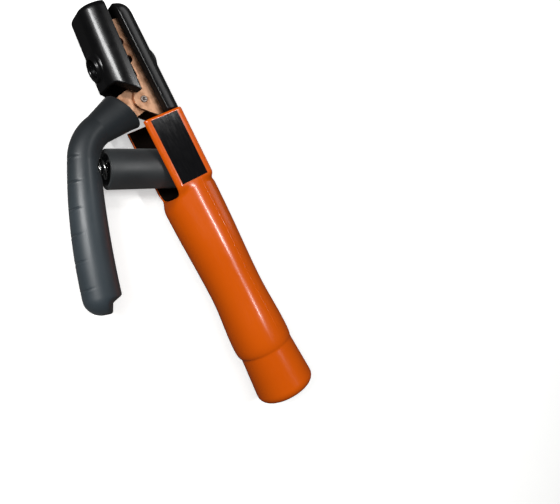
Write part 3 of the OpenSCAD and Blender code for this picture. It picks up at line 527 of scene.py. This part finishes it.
def shroud_reach(angle, corner):
    """How far the rounded rectangle reaches from the handle's axis, found by halving."""
    mid, half_y, half_z = (shroud_low + shroud_high) / 2, (shroud_high - shroud_low) / 2, shroud_half
    near, far = 0.0, 40.0
    for _ in range(40):
        reach = (near + far) / 2
        qy = abs(reach * math.cos(angle) - mid) - half_y + corner
        qz = abs(reach * math.sin(angle)) - half_z + corner
        inside = math.hypot(max(qy, 0), max(qz, 0)) + min(max(qy, qz), 0) < corner
        near, far = (reach, far) if inside else (near, reach)
    return near


sides = 240
angles = [2 * math.pi * k / sides for k in range(sides)]
shroud_ring = [shroud_reach(a, shroud_corner) for a in angles]
oval_from, oval_run = 95, 45
side_flow, lever_flow, back_flow = 3.6, 10.4, 4.5
print("shroud reaches", round(min(shroud_ring), 1), "to", round(max(shroud_ring), 1), "mm from the axis")

# %% Handle rings


def handle_reach(x, k):
    angle = angles[k % sides]
    deep = grip_radius(x, angle)
    wide = mix(deep, min(deep, shroud_half), smooth((x - oval_from) / oval_run))
    oval = 1 / math.hypot(math.cos(angle) / deep, math.sin(angle) / wide)
    start = label_x - side_flow
    start -= lever_flow * max(0, math.cos(angle)) ** 2
    start -= back_flow * max(0, -math.cos(angle)) ** 2
    return mix(oval, shroud_ring[k % sides], smooth((x - start) / (label_x - start)))


shoulder_from, shoulder_to = 138, 156
quarter_turn = [1 - math.cos(math.pi / 2 * i / 12) for i in range(12)]
stations = [end_round * t for t in quarter_turn]
stations += [mix(end_round, neck_x, i / 10) for i in range(11)]
stations += [neck_x + (ring_x - neck_x) * t for t in quarter_turn[1:]]
stations += [mix(ring_x, shoulder_from, i / 60) for i in range(60)]
stations += [mix(shoulder_from, shoulder_to, i / 30) for i in range(30)]
stations += [mix(shoulder_to, handle_len, i / 10) for i in range(11)]
print("handle:", len(stations), "rings of", sides)

# %% Handle skin
handle_skin = loft("handle_skin", [
    [(x, handle_reach(x, k) * math.cos(a), handle_reach(x, k) * math.sin(a)) for k, a in enumerate(angles)]
    for x in stations])


def along_handle(u, v, h):
    return (h, u, v)


pocket_half, pocket_low, pocket_corner, past_end = 14.1, -11.3, 5, 198
inlet_r, inlet_len, hollow_r = 10.5, 31, 13.3
quarter = [math.pi / 2 * i / 10 for i in range(11)]
rounded = [(pocket_corner * (1 - math.sin(a)), pocket_corner * (1 - math.cos(a))) for a in quarter]
pocket_outline = [(past_end, -pocket_half)]
pocket_outline += [(pocket_x + u, -pocket_half + v) for u, v in rounded]
pocket_outline += [(pocket_x + v, pocket_half - u) for u, v in rounded]
pocket_outline += [(past_end, pocket_half)]
pocket = loft("pocket", [[(x, y, z) for x, z in pocket_outline] for y in (pocket_low, 30)])
inlet = turned("inlet", [(inlet_r, -1), (inlet_r, inlet_len)], 96, along_handle)
hollow = turned("hollow", [(hollow_r, inlet_len - 1), (hollow_r, 150)], 96, along_handle)
carve(handle_skin, "DIFFERENCE", [pocket, inlet, hollow])
rib_starts, rib_len, rib_top, rib_sides = (156.5, 186.5), 2.4, -5, ((-14.6, -8.6), (8.6, 14.6))
carve(handle_skin, "UNION", [block("rib", (x, pocket_low - 0.5, near), (x + rib_len, rib_top, far))
                             for near, far in rib_sides for x in rib_starts])
sand(handle_skin, 0.5, 8)
print("sanded handle:", len(handle_skin.data.polygons), "faces")

# %% Label recess, screw hole and painted shade
handle_screw_x = 156.88
label_recess = block("recess", (label_x, -9.9, 16.8), (194.0, 8.7, 19))
screw_hole = turned("screw_hole", [(4.3, -14.9), (4.3, -14.5), (2.6, -12.8), (2.6, -10)], 48,
                    lambda u, v, h: (handle_screw_x + u, h, v))
carve(handle_skin, "DIFFERENCE", [label_recess, screw_hole])
handle_skin.data.shade_smooth()
handle_skin.data.set_sharp_from_angle(angle=math.radians(35))
dress(handle_skin, orange_nylon, "holder_body", ["handle"])

# The limits stand a little outside the cut faces, because sanding moves these.
painted_shade_r, painted_shade_half, painted_shade_low, painted_shade_high, skin_depth = 13.45, 14.4, -11.7, 11.0, 0.6
painted_shade_from, pocket_from = 25, 146.8


def inside_shroud(place, normal):
    reach = math.hypot(place.y, place.z)
    if place.x < pocket_from:
        return place.x > painted_shade_from and reach < painted_shade_r
    depth = handle_reach(place.x, round(math.atan2(place.z, place.y) / (2 * math.pi) * sides)) - reach
    in_pocket = painted_shade_low < place.y < painted_shade_high and abs(place.z) < painted_shade_half and depth > skin_depth
    return reach < painted_shade_r or in_pocket


# painted shade: the faces inside the hollow and the open pocket take the near-black finish
second_finish(handle_skin, painted_shade_nylon, inside_shroud)

# %% [markdown]
# ## The mould line
# A moulding shows where the two halves of its mould met: a faint raised line along the near side of the grip. It
# could be a bump in the finish, but a real line catches the light from every side. So it is a very low strip of
# four points across, laid on the skin's own curve.

# %% Mould line
line_rings = []
line_at = math.atan2(18.0, -4.8)
line_from, line_to, line_steps, line_lift, fade_steps = 44, label_x - 0.6, 120, 0.13, 6
line_k = line_at / (2 * math.pi) * sides
low_k = int(line_k)
for i in range(line_steps + 1):
    x = mix(line_from, line_to, i / line_steps)
    reach = mix(handle_reach(x, low_k), handle_reach(x, low_k + 1), line_k - low_k)
    fade = min(1, i / fade_steps, (line_steps - i) / fade_steps)
    top = line_lift * fade - 0.02
    line_rings.append([
        (x, (reach + lift) * math.cos(line_at + off / reach), (reach + lift) * math.sin(line_at + off / reach))
        for off, lift in ((-0.45, -0.2), (-0.2, top), (0.2, top), (0.45, -0.2))])
mould_line = loft("mould_line", line_rings)
mould_line.data.shade_smooth()
dress(mould_line, orange_nylon, "holder_body")

# %% [markdown]
# ## The jaw covers
# The fixed cover is a half round of bakelite with a rounded nose, and the moving one has a flat top with large round
# edges, which falls a little towards the front. A ring here is an outline that ends on the rim's plane with a small
# bevel, and it shrinks along the nose. Each screw sits in a raised boss, turned on a lathe. The fixed cover has a
# slot for the channel. The moving one is hollow, with a pillar for its screw, and its rear is cut back on a slant, so
# that it clears the lever's hose. Sanding then breaks every edge by a hair, and the rims and the cut take the ground
# finish.

# %% Cover tools
bevel = 0.5


def cover_boss(name, screw_x, crown, r, h, well, spread, put):
    """A boss on a cover's crown: a hollow foot that spreads into the cover, and a round lip down to the well."""
    lip = (r - well) / 2
    foot = [(r + spread * (1 - math.sin(a)), (h - lip) * (1 - math.cos(a))) for a in quarter]
    crest = [(well + lip + lip * math.cos(2 * a), h - lip + lip * math.sin(2 * a)) for a in quarter[1:]]
    profile = [(0.01, -2), (r + spread, -2)] + foot + crest + [(0.01, h - lip)]
    return turned(name, profile, 72, lambda u, v, t: put(screw_x + u, -crown - t, v))


def rod(name, screw_x, r, y0, y1, put):
    """A round rod along a cover's screw, to drill a hole with or to stand as a pillar."""
    return turned(name, [(r, y0), (r, y1)], 56, lambda u, v, t: put(screw_x + u, t, v))


print("rim bevel", bevel, "mm")

# %% Fixed cover
fixed_start, fixed_len, fixed_rim, fixed_drop = 196.3, 67.3, -5.5, 2.5
cover_r, nose_len, nose_depth = 15.9, 7.0, 5.0
fixed_screw, fixed_crown = 33.2, cover_r - fixed_drop


def on_fixed(x, y, z):
    return (fixed_start + x, fixed_rim + y, z)


rear_edge, arc_points = 0.4, 96
fixed_run = [(0, cover_r - rear_edge), (rear_edge, cover_r)]
fixed_run += [(mix(rear_edge, fixed_len - nose_len, i / 8), cover_r) for i in range(1, 9)]
fixed_run += [(fixed_len - nose_len * (1 - math.sin(a)), cover_r - nose_depth * (1 - math.cos(a)))
              for a in quarter[1:]]
fixed_rings = []
for x, r in fixed_run:
    half = math.acos((fixed_drop + bevel) / r)
    rim_z = math.sqrt(r * r - fixed_drop * fixed_drop) - bevel
    arc = [on_fixed(x, fixed_drop - r * math.cos(f), r * math.sin(f))
           for f in (mix(-half, half, k / (arc_points - 1)) for k in range(arc_points))]
    fixed_rings.append([on_fixed(x, 0, -rim_z)] + arc + [on_fixed(x, 0, rim_z)])
fixed_cover = loft("fixed_cover", fixed_rings)
carve(fixed_cover, "UNION", [cover_boss("boss", fixed_screw, fixed_crown, 5.5, 0.7, 4.5, 0.9, on_fixed)])
slot = block("slot", on_fixed(-2, -5.7, -8.8), on_fixed(60, 6, 8.8))
carve(fixed_cover, "DIFFERENCE", [
    slot, rod("hole", fixed_screw, 2.6, 1, -9.5, on_fixed),
    rod("head_room", fixed_screw, 4.4, -8.7, -22, on_fixed)])
sand(fixed_cover, 0.3, 10)
dress(fixed_cover, black_bakelite, "holder_body", ["fixed_jaw_cover"])
second_finish(fixed_cover, ground_bakelite, lambda place, normal: normal.y > 0.9)

# %% Moving cover's sections
pivot = Vector((208.0, 2.0))
jaw_tilt = math.radians(-3.9)
moving_start, moving_rim, moving_len, moving_screw = 4, 2.2, 54, 22
half_width, top_rise, top_fall, top_corner = 17.1, 15.1, math.tan(math.radians(1.8)), 11.5


def on_moving(x, y, z):
    u, v = moving_start + x, moving_rim - y
    return (pivot.x + u * math.cos(jaw_tilt) - v * math.sin(jaw_tilt),
            pivot.y + u * math.sin(jaw_tilt) + v * math.cos(jaw_tilt), z)


def flat_topped(x, half, corner, sunk, rim, steps):
    """An outline from the points of the rim to the middle of the flat top, mirrored to the other half."""
    rise = top_rise - sunk - (x - moving_screw) * top_fall
    bends = [math.pi / 2 * i / steps for i in range(steps + 1)]
    side = rim + [(corner - rise - corner * math.sin(f), half - corner + corner * math.cos(f)) for f in bends]
    return [on_moving(x, y, z) for y, z in side] + [on_moving(x, y, -z) for y, z in reversed(side)]


def cover_ring(x, inset):
    half = half_width - inset
    return flat_topped(x, half, top_corner - inset, inset, [(0, half - bevel), (-bevel, half)], 20)


front_round = 3.2
moving_run = [(mix(-1, moving_len - front_round, i / 16), 0) for i in range(17)]
moving_run += [(moving_len - front_round * (1 - math.sin(a)), front_round * (1 - math.cos(a))) for a in quarter[1:]]
moving_cover = loft("moving_cover", [cover_ring(x, inset) for x, inset in moving_run])
print("moving cover:", len(moving_run), "rings")

# %% Moving cover
room_half, room_corner, roof = 9.2, 4.0, 2.6
room_rings = [flat_topped(x, room_half, room_corner, roof, [(1, room_half)], 12) for x in (-3, 48)]
carve(moving_cover, "DIFFERENCE", [loft("room", room_rings)])
pillar = rod("pillar", moving_screw, 7, -1.8, -13.5, on_moving)
pad = block("pad", (38, -13.0, -7), (50, -1.8, 7), on_moving)
boss = cover_boss("boss", moving_screw - 0.4, top_rise, 7.6, 2.1, 5.6, 2.6, on_moving)
carve(moving_cover, "UNION", [pillar, pad, boss])
rear_outline = ((-20, 3), (-0.1, 0.6), (0, 0), (8.8, -12), (8.8, -30), (-20, -30))
rear_cut = loft("rear_cut", [[on_moving(x, y, z) for x, y in rear_outline] for z in (-25, 25)])
carve(moving_cover, "DIFFERENCE", [
    rear_cut, rod("hole", moving_screw, 2.6, 1, -11, on_moving),
    rod("head_room", moving_screw, 5.4, -10.3, -24, on_moving)])
sand(moving_cover, 0.3, 14)
dress(moving_cover, black_bakelite, "lever", ["moving_jaw_cover"])
second_finish(moving_cover, ground_bakelite, lambda place, normal: normal.y < -0.9 or normal.x < -0.6)

# %% [markdown]
# ## The lever's path
# The lever rises steeply from its pivot, bends over a radius of 25 mm and runs back beside the grip in a very gentle
# curve. The hose and the spring's seat follow this one path, so it is worked out once, as a function that gives the
# place and the heading anywhere along it.

# %% Lever path


def ahead(a):
    return Vector((math.cos(a), math.sin(a)))


def beside(a):
    return Vector((-math.sin(a), math.cos(a)))


upper, lower, bend_r, arm_r, arm_len = math.radians(103.7), math.radians(153.7), 25.0, 435.0, 77.0
corner_point = pivot + Vector((-8.1, 42.4))
bend_reach = bend_r * math.tan((lower - upper) / 2)
bend_in, bend_out = corner_point - ahead(upper) * bend_reach, corner_point + ahead(lower) * bend_reach
bend_centre, arm_centre = bend_in + beside(upper) * bend_r, bend_out + beside(lower) * arm_r
bend_run = bend_r * (lower - upper)
arm_end = bend_run + arm_len


def path(s):
    """Place and heading, where s is 0 at the start of the bend, less before it and more after it."""
    if s < 0:
        return bend_in + ahead(upper) * s, upper
    if s < bend_run:
        a = upper + s / bend_r
        return bend_centre - beside(a) * bend_r, a
    a = lower + (s - bend_run) / arm_r
    return arm_centre - beside(a) * arm_r, a


print("bend ends at", round(bend_run, 1), "mm and the arm at", round(arm_end, 1), "mm along the path")

# %% [markdown]
# ## The lever's hose
# The hose is a soft tube drawn over the lever's arm. Its mouth is cut on a slant and flares a little, it tapers
# into the bend, swells towards its end, and shows short creases near its outer side where the skin was stretched. Its
# end is closed, round on the outside, with a slanting cut and a blunt nib on the inner side. A bent pipe would be too
# even, so each ring's radius is set point by point: from the stretch it lies on, then the creases and the nib.

# %% Hose sections
hose_sides = 120
hose_angles = [2 * math.pi * k / hose_sides for k in range(hose_sides)]
mouth_at, mouth_slant, flare_len, flare_rise = -20.8, 4.5, 4.3, 0.35
hose_r, mouth_r, swell, cap_len, end_r = 9.07, 12.56, 1.9, 11.8, 10.8
cut_reach, cut_len, nib_root, nib_tip, nib_len, nib_round = 11.1, 5, 5.0, 4.2, 5, 1.6


def hose_radius(s):
    if s < 0:
        return mix(hose_r, mouth_r, s / mouth_at)
    t = min(1, max(0, (s - bend_run) / arm_len))
    return hose_r + swell * (1 - (1 - t) ** 2)


def hose_point(s, a, r):
    place, heading = path(s)
    flat = place + beside(heading) * (r * math.cos(a))
    return (flat.x, flat.y, r * math.sin(a))


def outer_share(a):
    """0 on the inner side of the hose, 1 on the outer side."""
    return 1 - (1 + math.cos(a)) / 2


def slanted(s, a):
    """The cut of the mouth moves a place on along the path, most on the outer side."""
    return s + mouth_slant * outer_share(a) * smooth(s / mouth_at)


def nib_reach(left):
    """How far the end reaches to the inner side, at a distance from the tip: a slanting cut, then a blunt nib."""
    if left > nib_len:
        return mix(nib_root, cut_reach, smooth((left - nib_len) / cut_len))
    if left > nib_round:
        return mix(nib_tip, nib_root, (left - nib_round) / (nib_len - nib_round))
    return nib_tip - nib_round + nib_round * math.sqrt(1 - (1 - left / nib_round) ** 2)


print("hose from", mouth_at, "to", round(arm_end + cap_len, 1), "mm along the path")

# %% Hose skin
crease_at = [bend_run + x for x in (-1, 12.7, 27.7, 42.1, 57.1, 72.8)]
crease_middle, crease_stray, crease_spread, crease_lean = math.radians(162), 0.12, 0.42, 1.2
crease_depth, crease_width, fold_rise, fold_off, fold_width = 0.7, 0.4, 0.2, 1.1, 0.5
nib_from, cap_from = 13, arm_end - 6


def crease(s, a):
    """How far the creases draw the skin in: a narrow groove with a low fold beside it."""
    drawn = 0
    for i, c in enumerate(crease_at):
        middle = crease_middle + crease_stray * math.sin(5 * i)
        off = s - c - crease_lean * (a - middle)
        groove = crease_depth * math.exp(-(off / crease_width) ** 2)
        fold = fold_rise * math.exp(-((off - fold_off) / fold_width) ** 2)
        drawn += math.exp(-((a - middle) / crease_spread) ** 2) * (groove - fold)
    return drawn


def hose_outer(s):
    ring = []
    left = arm_end + cap_len - s
    for a in hose_angles:
        at = slanted(s, a)
        r = hose_radius(at) + flare_rise * smooth((mouth_at + flare_len - s) / flare_len) * (1 - outer_share(a))
        r -= crease(s, a)
        if left < nib_from:
            inner_side = smooth((math.cos(a) + 0.1) / 0.8)
            round_end = r - end_r + math.sqrt(max(0, end_r ** 2 - max(0, end_r - left) ** 2))
            r = mix(round_end, min(r, nib_reach(left)), inner_side)
        ring.append(hose_point(at, a, r))
    return ring


along = [mix(mouth_at, 0, i / 40) for i in range(40)]
along += [mix(0, cap_from, i / 300) for i in range(300)]
along += [mix(cap_from, arm_end + cap_len, math.sin(math.pi / 2 * i / 60)) for i in range(61)]
outer_rings = [hose_outer(s) for s in along]
print("hose:", len(outer_rings), "rings")

# %% Hose rim and inside
# How far back and how far in each ring of the rim lies.
rim_steps = ((-0.35, 0.15), (-0.5, 0.5), (-0.5, 1.1), (-0.35, 1.45))
hose_wall, inside_steps = 1.6, 60
rim_rings = []
for back, draw in rim_steps:
    ring = []
    for a in hose_angles:
        at = slanted(mouth_at, a)
        ring.append(hose_point(at + back, a, hose_radius(at) + flare_rise * (1 - outer_share(a)) - draw))
    rim_rings.append(ring)
inside_rings = []
for i in range(inside_steps):
    s = mix(mouth_at + 0.4, arm_end + 1.4, i / (inside_steps - 1))
    inside_rings.append([hose_point(slanted(s, a), a, hose_radius(slanted(s, a)) - hose_wall) for a in hose_angles])
inside_rings.append([hose_point(arm_end + 1.5, a, 0.05) for a in hose_angles])
lever_hose = loft("lever_hose", list(reversed(outer_rings)) + rim_rings + inside_rings)
print("hose skin:", len(lever_hose.data.polygons), "faces")

# %% [markdown]
# The spring pushes between the handle and the lever, and enters the hose through a hole in its inner side. So its
# place is worked out now: the seat is on the lever's arm just past the bend, and the foot is on the wedge in the
# handle's channel.

# %% Spring's place, and its hole in the hose
spring_angle, past_bend, seat_depth = math.radians(67.5), 4.6, 3.8
channel_floor, wedge_rise, hole_r = -9.2, 3.8, 7.3
spring_dir, spring_side = ahead(spring_angle), beside(spring_angle)
seat_place, seat_heading = path(bend_run + past_bend)
seat_point = seat_place + beside(seat_heading) * seat_depth
spring_span = (seat_point.y - channel_floor - wedge_rise) / spring_dir.y
spring_foot = seat_point - spring_dir * spring_span


def on_spring(u, v, h):
    flat = spring_foot + spring_dir * h + spring_side * v
    return (flat.x, flat.y, -u)


spring_hole = turned("spring_hole", [(hole_r, spring_span - hose_r), (hole_r, spring_span + 1)], 64, on_spring)
carve(lever_hose, "DIFFERENCE", [spring_hole])
lever_hose.data.shade_smooth()
lever_hose.data.set_sharp_from_angle(angle=math.radians(50))
dress(lever_hose, hose_vinyl, "lever", ["lever_sleeve"])
print("spring from", [round(c, 1) for c in spring_foot], "to", [round(c, 1) for c in seat_point])

# %% [markdown]
# ## The spring and its tube
# The spring is wound from 2 mm wire, with closed turns at both ends. It is one tube swept along a helix, whose height
# per turn is small at the ends and larger between them. The rubber tube round it is turned from one profile, with
# softly rounded cut ends. Both reach from the body to the lever.

# %% Spring wire
wire_r, coil_r, turns, end_turns, end_pitch, tail_len = 1.0, 5.3, 11, 1.5, 2.5, 2
seat_gap, foot_gap = 0.6, 0.1
spring_len = spring_span - seat_gap - foot_gap


def coil_height(k):
    low = wire_r + end_pitch * end_turns
    if k < end_turns:
        return wire_r + end_pitch * k
    if k > turns - end_turns:
        return spring_len - wire_r - end_pitch * (turns - k)
    return mix(low, spring_len - low, (k - end_turns) / (turns - 2 * end_turns))


per_turn, wire_sides = 28, 14
centres = []
for i in range(turns * per_turn + 1):
    f = math.pi / 2 + 2 * math.pi * i / per_turn
    centres.append(Vector((coil_r * math.cos(f), coil_r * math.sin(f), coil_height(i / per_turn) + foot_gap)))
wire_tail = Vector((tail_len, 0, 0))
centres = [centres[0] + wire_tail] + centres + [centres[-1] - wire_tail]
wire_rings = []
for i, c in enumerate(centres):
    run = (centres[min(i + 1, len(centres) - 1)] - centres[max(i - 1, 0)]).normalized()
    side = run.cross(Vector((0, 0, 1))).normalized()
    over = side.cross(run)
    wire_rings.append([on_spring(*(c + (side * math.cos(f) + over * math.sin(f)) * wire_r))
                       for f in (2 * math.pi * j / wire_sides for j in range(wire_sides))])
spring_wire = loft("spring_wire", wire_rings)
spring_wire.data.shade_smooth()
spring_wire.data.set_sharp_from_angle(angle=math.radians(50))
dress(spring_wire, bright_steel, stands_for=["lever_spring"])
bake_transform(spring_wire)

# %% Spring tube
tube_low, tube_high, tube_r, tube_wall = 6.5, spring_span - 8.3, 12.0, 2.5
cut_round, edge_steps = 0.5, 40
cut = [(0.0, cut_round), (0.15, 0.15), (cut_round, 0.0)]
edge_low, edge_high = tube_low + cut_round, tube_high - cut_round
outer_edge = [(tube_r, mix(edge_low, edge_high, i / edge_steps)) for i in range(edge_steps + 1)]
inner_edge = [(tube_r - tube_wall, mix(edge_high, edge_low, i / edge_steps)) for i in range(edge_steps + 1)]
tube_profile = [(tube_r - d, tube_low + e) for d, e in reversed(cut)] + outer_edge[1:-1]
tube_profile += [(tube_r - d, tube_high - e) for d, e in cut]
tube_profile += [(tube_r - tube_wall + d, tube_high - e) for d, e in reversed(cut)] + inner_edge[1:-1]
tube_profile += [(tube_r - tube_wall + d, tube_low + e) for d, e in cut]
tube_sides = 96
tube_points, tube_faces = [], []
for r, h in tube_profile:
    for k in range(tube_sides):
        f = 2 * math.pi * k / tube_sides
        tube_points.append(on_spring(r * math.cos(f), r * math.sin(f), h))
for i in range(len(tube_profile)):
    for k in range(tube_sides):
        a, b = i * tube_sides, ((i + 1) % len(tube_profile)) * tube_sides
        tube_faces.append((a + k, a + (k + 1) % tube_sides, b + (k + 1) % tube_sides, b + k))
spring_tube = make_piece("spring_tube", tube_points, tube_faces)
spring_tube.data.shade_smooth()
dress(spring_tube, tube_rubber, stands_for=["spring_sleeve"])
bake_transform(spring_tube)

# %% [markdown]
# ## The kept solids
# The pressed channels, the socket, the screws, nuts and rivets are already the right shape, so their solids stay and
# only take a finish. A solid's place and mesh aren't touched.

# %% Finishes of the kept solids
kept = {
    "label": label_film,
    "body_channel": coppered_steel, "lever_channel": coppered_steel, "cable_socket": coppered_steel,
    "spring_seat": coppered_steel,
    "socket_rivets": zinc_steel, "clamp_screws": zinc_steel, "handle_screw": zinc_steel,
    "fixed_cover_screw": zinc_steel, "fixed_cover_nut": zinc_steel, "moving_cover_screw": zinc_steel,
    "moving_cover_nut": zinc_steel, "lever_spring_stud": zinc_steel,
    "pivot_rivet": rivet_steel, "pivot_bush": bright_steel,
}
for name, finish in kept.items():
    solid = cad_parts[name]
    if not solid.data.materials:
        solid.data.materials.append(finish)
    for slot_here in solid.material_slots:
        slot_here.material = finish
print("kept solids:", len(kept))

# %% [markdown]
# ## Keeping lamps off
# A photographer puts a dark card, called a flag, between a lamp and what it shouldn't reach. Here the low glow and
# the overhead strip would lay more streaks along the hose. Blender's light linking does the flag's work: the hose is
# excluded from these two lamps, and everything else still takes their light. The jaw lamp is the other way round. It
# is linked to the two copper channels and lights nothing else, as a lamp in a narrow tube would.

# %% Light linking
flagged = bpy.data.collections.new("flagged")
flagged.objects.link(lever_hose)
flagged.collection_objects[0].light_linking.link_state = "EXCLUDE"
for lamp_name in ("low_glow", "overhead_strip"):
    bpy.data.objects[lamp_name].light_linking.receiver_collection = flagged
spotted = bpy.data.collections.new("spotted")
for name in ("body_channel", "lever_channel"):
    spotted.objects.link(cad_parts[name])
bpy.data.objects["jaw_lamp"].light_linking.receiver_collection = spotted
